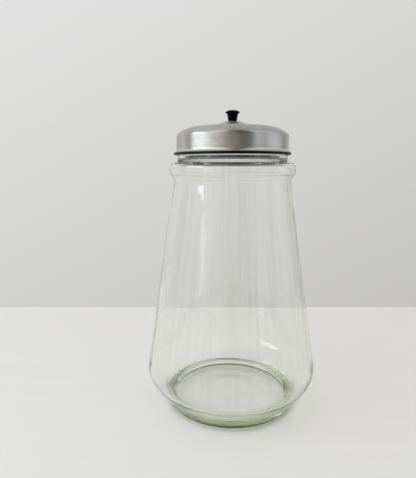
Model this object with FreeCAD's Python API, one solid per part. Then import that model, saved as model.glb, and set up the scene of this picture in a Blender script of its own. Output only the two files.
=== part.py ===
import FreeCAD, Part
import math
import os

# Lidded glass canister: a tapered storage jar of clear glass with a lift-off aluminium lid.
#
# The jar stands on a thick moulded foot, is widest low down, tapers up to a rolled shoulder and
# ends in a short plain neck. The lid slips over the neck and rests on a loose rubber ring. A small
# black knob is held to the lid by a screw from inside, with a flat and a spring washer.
#
# Millimetres. The origin is the centre of the foot's resting face and +Z is up. Every turned
# piece is drawn as a closed outline of (radius, height, rounding) corners.

# Jar, outside
foot_radius = 61.7            # at the table, before its edge is rounded
foot_flare = 1.9              # the foot widens upwards by this
foot_height = 5.9
foot_edge_round = 4.5
foot_top_round = 1.0
foot_ring_width = 14.7        # flat ring that the jar rests on, round a shallow hollow
kick_height = 2.4             # depth of that hollow at its middle
kick_flat_radius = 22.0
kick_edge_round = 4.0
kick_round = 40.0
groove_depth = 0.6            # shallow line between foot and body
groove_rise = 2.2
groove_round = 0.8
knee_out = 6.8                # bend in the belly's underside, out and up from the groove
knee_rise = 5.5
knee_round = 11.7
belly_radius = 84.3           # corner of the belly before it is rounded
belly_rise = 16.9             # from the knee
belly_round = 22.0
waist_radius = 55.2
waist_height = 221.5
waist_round = 4.0
bulge_proud = 4.3             # rolled shoulder, beyond the waist
bulge_foot_rise = 4.6
bulge_side = 9.2
bulge_round = 5.4
shoulder_rise = 4.2
shoulder_width = 8.0          # from the bulge in to the neck
neck_height = 19.4            # from the shoulder to the rim
neck_ring_proud = 0.5
neck_ring_rise = 0.8
neck_ring_height = 2.6
neck_ring_round = 0.4
rim_round = 1.4

# Jar, inside
body_wall = 2.9
neck_wall = 4.1
foot_wall = 6.4               # at the table, out from the sunk floor
base_thickness = 5.4
sunk_floor_depth = 6.0
sunk_floor_round = 1.8
sunk_floor_lip_round = 2.0
floor_dome_rise = 1.6
floor_dome_radius = 15.0
floor_dome_round = 60.0
neck_inside_drop = 1.0        # start of the straight bore, below the outer shoulder corner
neck_inside_round = 4.0

# Sealing ring, loose on the rim
ring_thickness = 3.1
ring_width = 5.0
ring_set_in = 0.1             # from the neck's side in to the ring's
ring_round = 0.5
ring_rest_gap = 0.05

# Lid
sheet = 0.5
skirt_clearance = 0.6         # neck to skirt
bead_clearance = 0.3          # neck's ring to the rolled edge
seat_clearance = 0.3          # sealing ring to the inside of the lid's corner
bead_above_shoulder = 4.2
bead_tuck_rise = 2.1          # the sheet's cut edge, turned back up inside
bead_round = 1.4
bead_side = 0.3
flare_height = 2.4
flare_round = 1.0
corner_round = 4.0
slope_width = 8.4             # sloping band round the top of the skirt
slope_rise = 6.3
slope_round = 28.0
crown_rise = 2.2
boss_foot_radius = 17.0
boss_foot_round = 9.0
boss_top_radius = 7.6
boss_rise = 3.9
boss_round = 4.0

# Knob and its fastening
knob_height = 10.3
knob_foot_radius = 3.95
knob_foot_round = 0.3
knob_stem_radius = 5.0
knob_stem_height = 6.8
knob_stem_round = 1.2
knob_lip_radius = 6.75
knob_lip_thickness = 0.5
knob_lip_round = 0.2
knob_dome_rise = 1.3
knob_dome_in = 2.2
knob_dome_round = 3.0
knob_crown_radius = 1.5
knob_crown_rise = 0.35
insert_wall = 0.8             # brass outside the thread
insert_length = 6.4
insert_groove_depth = 0.35
thread_radius = 1.5
thread_clearance = 0.02
screw_hole_clearance = 0.2
screw_reach = 5.8             # length of screw inside the knob
screw_point = 0.4
screw_head_radius = 2.8
screw_head_height = 1.9
screw_head_round = 1.0
screw_slot_width = 0.8
screw_slot_depth = 0.9
washer_radius = 4.4
washer_thickness = 0.6
washer_hole_clearance = 0.1
spring_washer_radius = 2.75
spring_washer_thickness = 0.7
spring_washer_gap = 0.6

# Sizes that follow from those above
kick_radius = foot_radius - foot_ring_width
foot_top_radius = foot_radius + foot_flare
groove_radius = foot_top_radius - groove_depth
groove_height = foot_height + groove_rise
knee_radius = groove_radius + knee_out
knee_height = groove_height + knee_rise
belly_height = knee_height + belly_rise
bulge_radius = waist_radius + bulge_proud
bulge_low = waist_height + bulge_foot_rise
bulge_high = bulge_low + bulge_side
shoulder_height = bulge_high + shoulder_rise
neck_radius = bulge_radius - shoulder_width
neck_inside_radius = neck_radius - neck_wall
neck_ring_radius = neck_radius + neck_ring_proud
neck_ring_low = shoulder_height + neck_ring_rise
neck_ring_high = neck_ring_low + neck_ring_height
rim_height = shoulder_height + neck_height
ring_radius = neck_radius - ring_set_in
ring_low = rim_height + ring_rest_gap
ring_high = ring_low + ring_thickness
skirt_radius = neck_radius + skirt_clearance + sheet
bead_inner_radius = neck_ring_radius + bead_clearance
bead_outer_radius = bead_inner_radius + 2 * bead_round
bead_low = shoulder_height + bead_above_shoulder
bead_high = bead_low + 2 * bead_round + bead_side
insert_radius = thread_radius + insert_wall


def lid_corner_height():
    """Height of the lid's outer corner that leaves seat_clearance over the ring's top edge."""
    inner_round = corner_round - sheet
    across = (ring_radius - ring_round) - (skirt_radius - corner_round)
    up = math.sqrt((inner_round - seat_clearance - ring_round) ** 2 - across**2)
    turn = math.pi / 2 - math.atan2(slope_rise, slope_width)
    return ring_high - ring_round - up + corner_round * math.tan(turn / 2)


corner_height = lid_corner_height()
slope_high = corner_height + slope_rise
crown_height = slope_high + crown_rise
boss_height = crown_height + boss_rise
washer_high = boss_height - sheet
spring_washer_high = washer_high - washer_thickness
screw_head_high = spring_washer_high - spring_washer_thickness

coincident = 1e-6             # points nearer than this count as one


def direction(start, end):
    """Unit direction from one (radius, height) point to another."""
    dr = end[0] - start[0]
    dz = end[1] - start[1]
    length = math.hypot(dr, dz)
    return dr / length, dz / length


def turn_between(first, second):
    """Signed angle from one direction to another, positive to the left."""
    cross = first[0] * second[1] - first[1] * second[0]
    dot = first[0] * second[0] + first[1] * second[1]
    return math.atan2(cross, dot)


def stepped(start, heading, distance):
    """Point at a distance from start along a heading."""
    return start[0] + heading[0] * distance, start[1] + heading[1] * distance


def left_of(heading):
    """Direction a quarter turn to the left of a heading."""
    return -heading[1], heading[0]


def vector(spot):
    """A (radius, height) point as a vector in the XZ plane."""
    return FreeCAD.Vector(spot[0], 0, spot[1])


def rounding_of(corner):
    """Rounding of a corner, which is left out where it is sharp."""
    return corner[2] if len(corner) > 2 else 0


def cut_lengths(corners, turns):
    """How far each rounding reaches along its two sides, limited where a side is too short."""
    wanted = []
    for corner, turn in zip(corners, turns):
        wanted.append(rounding_of(corner) * math.tan(abs(turn) / 2))
    factors = [1.0] * len(corners)
    for i, corner in enumerate(corners):
        both = wanted[i - 1] + wanted[i]
        side = math.dist(corners[i - 1][:2], corner[:2])
        if both > side:
            factors[i - 1] = min(factors[i - 1], side / both)
            factors[i] = min(factors[i], side / both)
    return [cut * factor for cut, factor in zip(wanted, factors)]


def rounded_wire(corners):
    """Closed wire through the corners, each rounding a tangent arc."""
    headings = [direction(corners[i - 1], corner) for i, corner in enumerate(corners)]
    headings.append(headings[0])
    turns = [turn_between(headings[i], headings[i + 1]) for i in range(len(corners))]
    cuts = cut_lengths(corners, turns)
    edges = []
    previous = stepped(corners[-1], headings[0], cuts[-1])
    for i, corner in enumerate(corners):
        start = stepped(corner, headings[i], -cuts[i])
        end = stepped(corner, headings[i + 1], cuts[i])
        if math.dist(previous, start) > coincident:
            edges.append(Part.makeLine(vector(previous), vector(start)))
        if cuts[i] > coincident:
            radius = cuts[i] / math.tan(turns[i] / 2)
            centre = stepped(start, left_of(headings[i]), radius)
            middle = stepped(centre, direction(centre, corner), abs(radius))
            edges.append(Part.Arc(vector(start), vector(middle), vector(end)).toShape())
        previous = end
    return Part.Wire(edges)


def turned(corners):
    """Solid of revolution of a closed outline."""
    face = Part.Face(rounded_wire(corners))
    return face.revolve(FreeCAD.Vector(0, 0, 0), FreeCAD.Vector(0, 0, 1), 360)


def offset_left(path, distance):
    """An open path moved to its left, with its roundings changed to match."""
    headings = [direction(path[i - 1], path[i]) for i in range(1, len(path))]
    headings = [headings[0], *headings, headings[-1]]
    moved = []
    for i, corner in enumerate(path):
        turn = turn_between(headings[i], headings[i + 1])
        aside = stepped(corner, left_of(headings[i]), distance)
        r, z = stepped(aside, headings[i], -distance * math.tan(turn / 2))
        rounding = rounding_of(corner)
        if rounding > 0:
            rounding = max(rounding - math.copysign(distance, turn), 0)
        moved.append((r, z, rounding))
    return moved


def glass_jar():
    """The jar in one piece of glass: foot, belly, cone, rolled shoulder, neck and rim."""
    foot = [
        (0, kick_height),
        (kick_flat_radius, kick_height, kick_round),
        (kick_radius, 0, kick_edge_round),
        (foot_radius, 0, foot_edge_round),
        (foot_top_radius, foot_height, foot_top_round),
    ]
    body = [
        (groove_radius, groove_height, groove_round),
        (knee_radius, knee_height, knee_round),
        (belly_radius, belly_height, belly_round),
        (waist_radius, waist_height, waist_round),
        (bulge_radius, bulge_low, bulge_round),
        (bulge_radius, bulge_high, bulge_round),
        (neck_radius, shoulder_height, neck_ring_round),
    ]
    neck = [
        (neck_ring_radius, neck_ring_low, neck_ring_round),
        (neck_ring_radius, neck_ring_high, neck_ring_round),
        (neck_radius, neck_ring_high + neck_ring_proud, neck_ring_round),
        (neck_radius, rim_height, rim_round),
    ]
    bore = [
        (neck_inside_radius, rim_height, rim_round),
        (neck_inside_radius, shoulder_height - neck_inside_drop, neck_inside_round),
    ]
    body_inside = offset_left(body, body_wall)[-2:0:-1]
    floor_radius = foot_radius - foot_wall
    floor = [
        (floor_radius, base_thickness + sunk_floor_depth, sunk_floor_lip_round),
        (floor_radius, base_thickness, sunk_floor_round),
        (floor_dome_radius, base_thickness + floor_dome_rise, floor_dome_round),
        (0, base_thickness + floor_dome_rise),
    ]
    return turned(foot + body + neck + bore + body_inside + floor)


def lid_shell():
    """Spun sheet cap: rolled lower edge, plain skirt, sloping band, low crown and raised boss."""
    outer = [
        (bead_inner_radius, bead_low + bead_tuck_rise),
        (bead_inner_radius, bead_low, bead_round),
        (bead_outer_radius, bead_low, bead_round),
        (bead_outer_radius, bead_high - bead_round, bead_round),
        (skirt_radius, bead_high - bead_round + flare_height, flare_round),
        (skirt_radius, corner_height, corner_round),
        (skirt_radius - slope_width, slope_high, slope_round),
        (boss_foot_radius, crown_height, boss_foot_round),
        (boss_top_radius, boss_height, boss_round),
        (thread_radius + screw_hole_clearance, boss_height),
    ]
    return turned(outer + offset_left(outer, sheet)[::-1])


def sealing_ring():
    """Flat rubber ring that lies on the glass rim inside the lid."""
    inner_radius = ring_radius - ring_width
    return turned([
        (inner_radius, ring_low, ring_round),
        (ring_radius, ring_low, ring_round),
        (ring_radius, ring_high, ring_round),
        (inner_radius, ring_high, ring_round),
    ])


def insert_outside():
    """Grooved outside of the brass insert, from its open end to its far end."""
    third = insert_length / 3
    groove = insert_radius - insert_groove_depth
    return [
        (insert_radius, boss_height),
        (insert_radius, boss_height + third),
        (groove, boss_height + third),
        (groove, boss_height + 2 * third),
        (insert_radius, boss_height + 2 * third),
        (insert_radius, boss_height + insert_length),
    ]


def knob():
    """Moulded black knob: flared stem, thin lip and low dome, hollow for its brass insert."""
    stem_high = boss_height + knob_stem_height
    knob_high = boss_height + knob_height
    dome_low = knob_high - knob_crown_rise - knob_dome_rise
    return turned([
        (0, boss_height + insert_length),
        *insert_outside()[::-1],
        (knob_foot_radius, boss_height, knob_foot_round),
        (knob_stem_radius, stem_high, knob_stem_round),
        (knob_lip_radius, dome_low - knob_lip_thickness, knob_lip_round),
        (knob_lip_radius, dome_low, knob_lip_round),
        (knob_lip_radius - knob_dome_in, dome_low + knob_dome_rise, knob_dome_round),
        (knob_crown_radius, knob_high),
        (0, knob_high),
    ])


def knob_insert():
    """Brass bush moulded into the knob. Its thread is a plain bore."""
    return turned([
        *insert_outside(),
        (thread_radius, boss_height + insert_length),
        (thread_radius, boss_height),
    ])


def knob_screw():
    """Slotted pan-head screw, put in from inside the lid. Its thread is left plain."""
    shank_radius = thread_radius - thread_clearance
    head_low = screw_head_high - screw_head_height
    tip = boss_height + screw_reach
    screw = turned([
        (0, head_low),
        (screw_head_radius, head_low, screw_head_round),
        (screw_head_radius, screw_head_high),
        (shank_radius, screw_head_high),
        (shank_radius, tip - screw_point),
        (shank_radius - screw_point, tip),
        (0, tip),
    ])
    slot = Part.makeBox(2 * screw_head_radius, screw_slot_width, screw_slot_depth)
    slot.translate(FreeCAD.Vector(-screw_head_radius, -screw_slot_width / 2, head_low))
    return screw.cut(slot)


def washer(radius, high, thickness):
    """Flat ring round the screw, its upper face at the height given."""
    hole_radius = thread_radius + washer_hole_clearance
    return turned([
        (hole_radius, high - thickness),
        (radius, high - thickness),
        (radius, high),
        (hole_radius, high),
    ])


def flat_washer():
    """Washer that spreads the screw's pull over the thin sheet."""
    return washer(washer_radius, washer_high, washer_thickness)


def spring_washer():
    """Split ring under the screw's head, flattened as it is when the screw is tight."""
    ring = washer(spring_washer_radius, spring_washer_high, spring_washer_thickness)
    gap = Part.makeBox(spring_washer_radius, spring_washer_gap, spring_washer_thickness)
    gap.translate(FreeCAD.Vector(0, -spring_washer_gap / 2, screw_head_high))
    return ring.cut(gap)


pieces = {
    "glass_jar": glass_jar,
    "sealing_ring": sealing_ring,
    "lid_shell": lid_shell,
    "knob": knob,
    "knob_insert": knob_insert,
    "knob_screw": knob_screw,
    "flat_washer": flat_washer,
    "spring_washer": spring_washer,
}

os.makedirs("parts", exist_ok=True)
for name, build in pieces.items():
    shape = build()
    shape.exportStep(f"parts/{name}.step")
    print(f"{name}: valid {shape.isValid()}, volume {shape.Volume:.1f} mm3")
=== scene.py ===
import math
import bpy
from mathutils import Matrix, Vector


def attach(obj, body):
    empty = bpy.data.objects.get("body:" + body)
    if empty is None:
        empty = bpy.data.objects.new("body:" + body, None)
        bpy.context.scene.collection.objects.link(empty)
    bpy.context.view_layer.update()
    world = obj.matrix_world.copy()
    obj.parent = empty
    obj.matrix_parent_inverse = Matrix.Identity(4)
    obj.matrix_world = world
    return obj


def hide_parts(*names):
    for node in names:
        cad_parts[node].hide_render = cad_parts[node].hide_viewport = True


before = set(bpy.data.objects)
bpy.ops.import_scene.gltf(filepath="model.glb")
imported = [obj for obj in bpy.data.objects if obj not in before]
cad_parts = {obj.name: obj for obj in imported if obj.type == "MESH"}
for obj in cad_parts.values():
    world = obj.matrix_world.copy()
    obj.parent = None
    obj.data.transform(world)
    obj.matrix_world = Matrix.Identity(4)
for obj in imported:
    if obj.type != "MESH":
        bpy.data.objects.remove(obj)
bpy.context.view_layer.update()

scene = bpy.context.scene
mm = 0.001
sameSpot = 2e-6          # points nearer than this are one


class Value:
    # a socket that can stand in a sum, each operator adding its Math node
    def __init__(self, nodes, socket):
        self.nodes = nodes
        self.socket = socket

    def maths(self, operation, first, second):
        return self.nodes.add("Math", {"operation": operation}, {0: first, 1: second})

    def __add__(self, other):
        return self.maths("ADD", self, other)

    def __radd__(self, other):
        return self.maths("ADD", other, self)

    def __sub__(self, other):
        return self.maths("SUBTRACT", self, other)

    def __rsub__(self, other):
        return self.maths("SUBTRACT", other, self)

    def __mul__(self, other):
        return self.maths("MULTIPLY", self, other)

    def __rmul__(self, other):
        return self.maths("MULTIPLY", other, self)


class Nodes:
    def __init__(self, name):
        self.material = bpy.data.materials.new(name)
        self.material.use_nodes = True
        self.tree = self.material.node_tree
        self.shader = self.tree.nodes["Principled BSDF"]

    def add(self, kind, settings=None, sockets=None, output=0):
        node = self.tree.nodes.new("ShaderNode" + kind)
        for key, value in (settings or {}).items():
            if key == "stops":
                self.setStops(node.color_ramp, value)
            else:
                setattr(node, key, value)
        self.fill(node, sockets or {})
        return Value(self, node.outputs[output])

    def setStops(self, ramp, stops):
        while len(ramp.elements) < len(stops):
            ramp.elements.new(1.0)
        for element, (place, colour) in zip(ramp.elements, stops):
            element.position = place
            element.color = colour

    def fill(self, node, sockets):
        for key, value in sockets.items():
            if isinstance(value, Value):
                self.tree.links.new(value.socket, node.inputs[key])
            else:
                node.inputs[key].default_value = value

    def surface(self, sockets):
        self.fill(self.shader, sockets)
        return self.material

    def place(self, scale=(1, 1, 1)):
        spot = self.add("TexCoord", output="Object")
        return self.add("Mapping", None, {"Vector": spot, "Scale": scale})

    def along(self, axis):
        return self.add("SeparateXYZ", None, {0: self.place()}, axis)

    def around(self, turns, rise):
        # the direction from the axis and the height, for streaks that run up the wall
        outward = self.add("VectorMath", {"operation": "NORMALIZE"}, {0: self.place((1, 1, 0))})
        sockets = {0: outward, 1: (turns, turns, 0), 2: self.place((0, 0, rise))}
        return self.add("VectorMath", {"operation": "MULTIPLY_ADD"}, sockets)

    def fromAxis(self):
        return self.add("VectorMath", {"operation": "LENGTH"}, {0: self.place((1, 1, 0))}, "Value")

    def noise(self, where, scale=1.0, detail=3.0, rough=0.5):
        sockets = {"Vector": where, "Scale": scale, "Detail": detail, "Roughness": rough}
        return self.add("TexNoise", None, sockets)

    def spread(self, value, low, high, toLow=0.0, toHigh=1.0):
        return self.add("MapRange", None, {0: value, 1: low, 2: high, 3: toLow, 4: toHigh})

    def band(self, value, starts, full, fades, gone):
        # one between full and fades, and nothing outside starts and gone
        return self.spread(value, starts, full) * self.spread(value, fades, gone, 1.0, 0.0)

    def blend(self, amount, first, second):
        return self.add("Mix", {"data_type": "RGBA"}, {0: amount, 6: first, 7: second}, 2)

    def bump(self, height, distance, strength=1.0):
        return self.add("Bump", None, {"Height": height, "Strength": strength, "Distance": distance})


def setMaterial(piece, material):
    # into the piece's own slots, or a new one where it has none
    if not piece.material_slots:
        piece.data.materials.append(material)
    for slot in piece.material_slots:
        slot.material = material


def gray(level):
    return (level, level, level, 1)


def turnAngle(a, b, c):
    first = math.atan2(b[1] - a[1], b[0] - a[0])
    second = math.atan2(c[1] - b[1], c[0] - b[0])
    return (second - first + math.pi) % (2 * math.pi) - math.pi


def nothingSelected():
    if bpy.context.object and bpy.context.object.mode != "OBJECT":
        bpy.ops.object.mode_set(mode="OBJECT")
    bpy.ops.object.select_all(action="DESELECT")


def pickVertices(piece, test):
    bpy.ops.mesh.select_mode(type="VERT")
    bpy.ops.mesh.select_all(action="DESELECT")
    bpy.ops.object.mode_set(mode="OBJECT")
    for vertex in piece.data.vertices:
        vertex.select = test(vertex.co)
    bpy.ops.object.mode_set(mode="EDIT")


def drawOutline(name, corners):
    # one vertex in the XZ plane, extruded from corner to corner, in millimetres
    nothingSelected()
    start = Vector((corners[0][0] * mm, 0, corners[0][1] * mm))
    bpy.ops.mesh.primitive_plane_add(size=mm, location=start)
    piece = bpy.context.object
    piece.name = name
    bpy.ops.object.transform_apply()
    bpy.ops.object.mode_set(mode="EDIT")
    bpy.ops.mesh.select_all(action="SELECT")
    bpy.ops.mesh.merge(type="CENTER")
    for a, b in zip(corners, corners[1:]):
        step = ((b[0] - a[0]) * mm, 0, (b[1] - a[1]) * mm)
        bpy.ops.mesh.extrude_region_move(TRANSFORM_OT_translate={"value": step})
    return piece


def roundCorner(piece, before, corner, after, segments):
    reach = corner[2] * math.tan(abs(turnAngle(before, corner, after)) / 2) * mm
    pickVertices(piece, lambda co: math.dist((co.x, co.z), (corner[0] * mm, corner[1] * mm)) < sameSpot)
    bpy.ops.mesh.bevel(
        offset=reach, offset_type="OFFSET", segments=segments, affect="VERTICES", clamp_overlap=False,
    )


def splitLong(piece, longest):
    # long straight runs get evenly spaced points
    bpy.ops.object.mode_set(mode="OBJECT")
    runs = []
    for edge in piece.data.edges:
        a, b = (piece.data.vertices[i].co.copy() for i in edge.vertices)
        runs.append((a, b, (a - b).length))
    bpy.ops.object.mode_set(mode="EDIT")
    for a, b, length in runs:
        if length > longest:
            pickVertices(piece, lambda co: min((co - a).length, (co - b).length) < sameSpot)
            bpy.ops.mesh.subdivide(number_cuts=int(length / longest))


def spinRound(piece, steps):
    bpy.ops.mesh.select_all(action="SELECT")
    bpy.ops.mesh.spin(steps=steps, angle=2 * math.pi, center=(0, 0, 0), axis=(0, 0, 1))
    bpy.ops.mesh.select_all(action="SELECT")
    bpy.ops.mesh.remove_doubles(threshold=sameSpot)
    bpy.ops.mesh.normals_make_consistent(inside=False)
    bpy.ops.object.mode_set(mode="OBJECT")


# the glass, turned from half of its section
jar = {
    # radius, height and rounding of each corner, up the outside and down the inside
    "corners": [
        (0, 2.4), (22, 2.4, 40), (47, 0, 4), (61.7, 0, 4.5), (63.6, 5.9, 1.0), (63.0, 8.1, 0.8),
        (69.8, 13.6, 11.7), (84.3, 30.5, 22), (55.2, 221.5, 4), (59.5, 226.1, 5.4), (59.5, 235.3, 5.4),
        (51.5, 239.5, 0.4), (52.0, 240.3, 0.4), (52.0, 242.9, 0.4), (51.5, 243.4, 0.4), (51.5, 258.9, 1.4),
        (47.4, 258.9, 1.4), (47.4, 238.5, 4), (56.6, 233.6, 2.5), (56.6, 227.2, 2.5), (52.26, 222.6, 6.9),
        (81.23, 31.38, 19.1), (67.77, 15.69, 8.8), (55.3, 11.4, 2.0), (55.3, 5.4, 1.8), (15, 7.0, 60),
        (0, 7.0),
    ],
    "roundSteps": 7,
    "steps": 256,
    "longestRun": 4.0,                   # in the section, in millimetres
    "tint": (0.45, 0.55, 0.14, 1),       # what the glass lets through in thick places
    "tintDensity": 10.0,
    "index": 1.5,
    "film": (0.945, 0.945, 0.94, 1),     # faint upright smears
    "smears": (20, 6),                   # how fast they change round the wall and up it
    "streaks": (14, 9),                  # fine upright waves
    "swells": (3.2, 14),                 # broad ones
    "seeds": 160,                        # small bubbles, per metre
    "heights": (0.6, 2.4, 0.3),          # of streaks, swells and seeds, as shares of the bump
    "bump": 0.0002,
    "wallStarts": (0.022, 0.045),        # no waves or smears below, all of them above
    "footEdgeShade": (0.03, 0.05, 0.015, 1),  # painted contact shade, darker than the rest; only its roughness stands for wear
    "edgeHeights": (0.0035, 0.0052),     # where that ends, going up
    "edgeRadii": (0.0596, 0.0608),       # and where it begins, going out
    "edgeRoughness": 0.25,
}


def turnJar():
    corners = jar["corners"]
    piece = drawOutline("jarGlass", corners)
    for before, corner, after in zip(corners, corners[1:], corners[2:]):
        if len(corner) > 2:
            roundCorner(piece, before, corner, after, jar["roundSteps"])
    splitLong(piece, jar["longestRun"] * mm)
    spinRound(piece, jar["steps"])
    bpy.ops.object.shade_smooth()
    return piece


def clearGlass():
    nodes = Nodes("clearGlass")
    up = nodes.along("Z")
    wall = nodes.spread(up, *jar["wallStarts"])
    streaks = nodes.noise(nodes.around(*jar["streaks"]), detail=2.0)
    swells = nodes.noise(nodes.around(*jar["swells"]), detail=2.0)
    cells = nodes.add("TexVoronoi", None, {"Vector": nodes.place(), "Scale": jar["seeds"]})
    seeds = nodes.spread(cells, 0.03, 0.10, 1.0, 0.0)
    fine, broad, small = jar["heights"]
    height = (streaks * fine + swells * broad) * wall + seeds * small
    smears = nodes.noise(nodes.around(*jar["smears"]), detail=4.0, rough=0.6)
    smears = nodes.spread(smears, 0.45, 0.75) * wall
    # the foot's outer edge: painted contact shade in its colour, real wear only in its roughness
    outer = nodes.spread(nodes.fromAxis(), *jar["edgeRadii"])
    edge = nodes.spread(up, *jar["edgeHeights"], 1.0, 0.0) * outer
    clear = nodes.blend(smears, gray(1), jar["film"])
    nodes.surface({
        "Base Color": nodes.blend(edge, clear, jar["footEdgeShade"]), "Roughness": edge * jar["edgeRoughness"],
        "IOR": jar["index"], "Transmission Weight": 1.0, "Normal": nodes.bump(height, jar["bump"]),
    })
    tint = nodes.add("VolumeAbsorption", None, {"Color": jar["tint"], "Density": jar["tintDensity"]})
    nodes.fill(nodes.tree.nodes["Material Output"], {"Volume": tint})
    return nodes.material


jarGlass = turnJar()
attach(jarGlass, "jar")
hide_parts("glass_jar")
setMaterial(jarGlass, clearGlass())
print("jar", len(jarGlass.data.polygons), "faces")

lid = {
    "metal": (0.50, 0.49, 0.46, 1),
    "dull": (0.31, 0.305, 0.28, 1),
    "roughness": 0.26,
    "brushing": 0.85,
    "lines": 900,                                        # brush lines, per metre
    "bump": 0.00005,
    "scratchHeights": (0.2475, 0.2485, 0.2520, 0.2540),  # scuffs just above the rolled edge
    "highlightBand": (0.66, 0.65, 0.63, 1),                     # painted highlight: a bright band along the top of the rolled edge
    "highlightBandHeights": (0.2467, 0.2471, 0.2483, 0.2487),
    "undersideShade": (0.02, 0.02, 0.018, 1),                     # painted shade: near-black along the rolled edge's underside
    "undersideShadeHeights": (0.2457, 0.2463),
}


def brushedLid():
    nodes = Nodes("brushedLid")
    height = nodes.along("Z")
    rings = nodes.add("CombineXYZ", None, {0: nodes.fromAxis() * lid["lines"], 2: height * lid["lines"]})
    lines = nodes.noise(rings, detail=4.0, rough=0.7)
    patches = nodes.noise(nodes.place((40, 40, 60)), detail=5.0, rough=0.6)
    wear = nodes.spread(patches, 0.42, 0.72)
    scuffs = nodes.noise(nodes.around(26, 900), detail=3.0, rough=0.7)
    scratch = nodes.spread(scuffs, 0.60, 0.68) * nodes.band(height, *lid["scratchHeights"])
    # painted shade: near-black under the rolled edge
    under = nodes.spread(height, *lid["undersideShadeHeights"], 1.0, 0.0)
    colour = nodes.blend(wear * 0.55 + nodes.spread(lines, 0.35, 0.7) * 0.4, lid["metal"], lid["dull"])
    colour = nodes.blend(scratch * 0.7, colour, lid["dull"])
    # painted highlight along the top of the rolled edge
    colour = nodes.blend(nodes.band(height, *lid["highlightBandHeights"]) * 0.8, colour, lid["highlightBand"])
    colour = nodes.blend(under, colour, lid["undersideShade"])
    return nodes.surface({
        "Base Color": colour, "Metallic": 1.0,
        "Roughness": lid["roughness"] + wear * 0.06 + lines * 0.08 + under * 0.3,
        "Anisotropic": lid["brushing"], "Anisotropic Rotation": 0.25,
        "Normal": nodes.bump(lines, lid["bump"]),
    })


setMaterial(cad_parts["lid_shell"], brushedLid())
print("lid finished")

fittings = {
    # two tones, and the roughness between them
    "knob": (gray(0.0012), gray(0.004), (0.30, 0.42)),
    "rubber": (gray(0.018), gray(0.035), (0.68, 0.82)),
    "brass": ((0.78, 0.58, 0.26, 1), (0.6, 0.42, 0.18, 1), (0.22, 0.4)),
    "steel": ((0.6, 0.59, 0.57, 1), (0.42, 0.41, 0.4, 1), (0.22, 0.4)),
}


def grainy(nodes, fitting, grain, bump, extra):
    first, second, roughness = fittings[fitting]
    return nodes.surface({
        "Base Color": nodes.blend(grain, first, second),
        "Roughness": nodes.spread(grain, 0.3, 0.7, *roughness), "Normal": nodes.bump(grain, bump), **extra,
    })


def blackKnob():
    nodes = Nodes("blackKnob")
    return grainy(nodes, "knob", nodes.noise(nodes.place(), 900), 0.00001, {"Specular IOR Level": 0.03})


def ringRubber():
    nodes = Nodes("ringRubber")
    return grainy(nodes, "rubber", nodes.noise(nodes.place(), 1500, 4.0), 0.00003, {})


def turnedMetal(name, fitting):
    nodes = Nodes(name)
    perMetre = 3000
    rings = nodes.add("CombineXYZ", None, {0: nodes.fromAxis() * perMetre, 2: nodes.along("Z") * perMetre})
    return grainy(nodes, fitting, nodes.noise(rings), 0.00002, {"Metallic": 1.0})


setMaterial(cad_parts["knob"], blackKnob())
setMaterial(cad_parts["sealing_ring"], ringRubber())
setMaterial(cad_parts["knob_insert"], turnedMetal("turnedBrass", "brass"))
screwSteel = turnedMetal("screwSteel", "steel")
for name in ("knob_screw", "flat_washer", "spring_washer"):
    setMaterial(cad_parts[name], screwSteel)
print("knob, ring and fastening finished")

stage = {
    "table": ((-1.5, -2.0, -0.0001), (1.5, 0.2766, -0.0001)),  # just under the foot's resting ring
    "tableTones": ((0.93, 0.92, 0.90, 1), (0.89, 0.88, 0.865, 1)),
    "wall": ((-4, 1.3, -1.5), (4, 1.3, 2.5)),
    "wallLitTones": ((0.505, 0.50, 0.485, 1), (0.80, 0.80, 0.80, 1)),
    "room": {"radius": 2.2, "depth": 3.4, "location": (0, 0, 1.5)},
    "air": (0.73, 0.725, 0.71, 1),
}

# what the metal and the glass mirror, as (turn from the front, colour): windows, walls, dim corners
roomBands = [
    (-150, (0.75, 0.75, 0.75)), (-130, (1.08, 1.07, 1.06)), (-114, (0.86, 0.86, 0.86)),
    (-101, (0.50, 0.51, 0.53)), (-95, (0.62, 0.65, 0.68)), (-88, (0.95, 1.02, 1.10)),
    (-60, (1.15, 1.22, 1.30)), (-50, (1.85, 1.84, 1.81)), (-42, (1.58, 1.55, 1.51)),
    (-31, (1.32, 1.25, 1.21)), (-20, (0.90, 0.82, 0.78)), (-14, (0.56, 0.50, 0.46)),
    (-5, (0.33, 0.29, 0.27)), (3, (0.38, 0.335, 0.30)), (9, (0.16, 0.145, 0.12)),
    (16, (0.07, 0.065, 0.05)), (29, (0.07, 0.07, 0.06)), (36, (0.20, 0.21, 0.19)),
    (43, (0.85, 0.89, 0.93)), (54, (0.88, 0.92, 0.97)), (62, (0.58, 0.61, 0.64)),
    (72, (0.88, 0.93, 0.98)), (93, (1.04, 1.09, 1.17)), (106, (0.80, 0.84, 0.88)),
    (117, (0.42, 0.42, 0.41)), (145, (0.54, 0.54, 0.53)),
]

windows = [
    # name, middle, width, height, watts and colour, each facing +X
    ("windowLeft", (-1.2, -0.40, 0.705), 0.80, 0.498, 5.0, (0.86, 0.93, 1.0)),
    ("doorGap", (-1.1, -0.85, 0.24), 0.05, 0.32, 0.09, (0.92, 0.96, 1.0)),
    ("doorPane", (-1.1, -0.96, 0.22), 0.07, 0.28, 0.10, (0.92, 0.96, 1.0)),
]


def paintedTable():
    nodes = Nodes("paintedTable")
    grain = nodes.noise(nodes.place((6, 60, 1)), detail=5.0)
    return nodes.surface({
        "Base Color": nodes.blend(grain, *stage["tableTones"]),
        "Roughness": nodes.spread(grain, 0.3, 0.7, 0.45, 0.6), "Normal": nodes.bump(grain, 0.00008),
    })


def glowing(nodes, colour):
    return nodes.surface({
        "Base Color": gray(0), "Roughness": 1.0, "Specular IOR Level": 0.0, "Emission Color": colour,
        "Emission Strength": 1.0,
    })


# the backdrop glows, with painted light and shade across it
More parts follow.
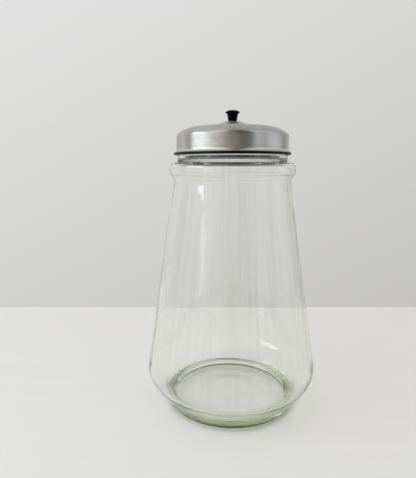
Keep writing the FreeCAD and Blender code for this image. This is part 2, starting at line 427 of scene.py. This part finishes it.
def glowingLitWall():
    nodes = Nodes("glowingLitWall")
    level = 0.63 + nodes.along("Z") * 0.107 - nodes.along("X") * 0.055    # painted light: the glowing wall brighter upwards and to the left
    return glowing(nodes, nodes.blend(nodes.spread(level, 0.5, 0.8), *stage["wallLitTones"]))


def roomAround():
    nodes = Nodes("roomAround")
    turn = nodes.add("TexGradient", {"gradient_type": "RADIAL"}, {0: nodes.place()})
    stops = sorted(((angle / 360 + 0.25) % 1, (*colour, 1)) for angle, colour in roomBands)
    return glowing(nodes, nodes.add("ValToRGB", {"stops": stops}, {"Fac": turn}))


def stagePlane(name, low, high, material):
    nothingSelected()
    bpy.ops.mesh.primitive_plane_add(size=1)
    plane = bpy.context.object
    plane.name = name
    size = Vector(high) - Vector(low)
    if size.z > 0:
        bpy.ops.transform.rotate(value=math.pi / 2, orient_axis="X", center_override=(0, 0, 0))
    bpy.ops.object.transform_apply()
    plane.scale = [side or 1 for side in size]
    plane.location = (Vector(low) + Vector(high)) / 2
    bpy.ops.object.transform_apply()
    setMaterial(plane, material)


def stageRoom():
    nothingSelected()
    bpy.ops.mesh.primitive_cylinder_add(vertices=96, end_fill_type="NGON", **stage["room"])
    room = bpy.context.object
    room.name = "roomAround"
    bpy.ops.object.transform_apply()
    setMaterial(room, roomAround())
    room.visible_camera = room.visible_diffuse = room.visible_transmission = room.visible_shadow = False


def addWindow(name, middle, wide, high, watts, colour):
    data = bpy.data.lights.new(name, "AREA")
    data.shape = "RECTANGLE"
    data.size, data.size_y = high, wide
    data.energy = watts
    data.color = colour
    light = bpy.data.objects.new(name, data)
    scene.collection.objects.link(light)
    light.location = middle
    light.rotation_euler = (0, math.radians(-90), 0)
    light.visible_camera = False


stagePlane("tableTop", *stage["table"], paintedTable())
stagePlane("backWall", *stage["wall"], glowingLitWall())
stageRoom()
for window in windows:
    addWindow(*window)

world = bpy.data.worlds.new("room")
scene.world = world
world.use_nodes = True
world.node_tree.nodes["Background"].inputs["Color"].default_value = stage["air"]
print("stage set")

view = {
    "place": (-0.02289, -0.40692, 0.23233),
    "tilt": 80.385,                      # degrees up from straight down
    "lens": 31.786,
    "sensor": 36,
}

camera = bpy.data.objects.new("camera", bpy.data.cameras.new("camera"))
scene.collection.objects.link(camera)
scene.camera = camera
camera.data.sensor_width = view["sensor"]
camera.data.lens = view["lens"]
camera.data.clip_start = 0.01
camera.location = view["place"]
camera.rotation_euler = (math.radians(view["tilt"]), 0, 0)
scene.view_settings.view_transform = "Standard"

# light has to get through many faces of clear glass, unblurred
scene.cycles.max_bounces = 40
scene.cycles.transmission_bounces = 40
scene.cycles.glossy_bounces = 20
scene.cycles.diffuse_bounces = 8
scene.cycles.blur_glossy = 0.0
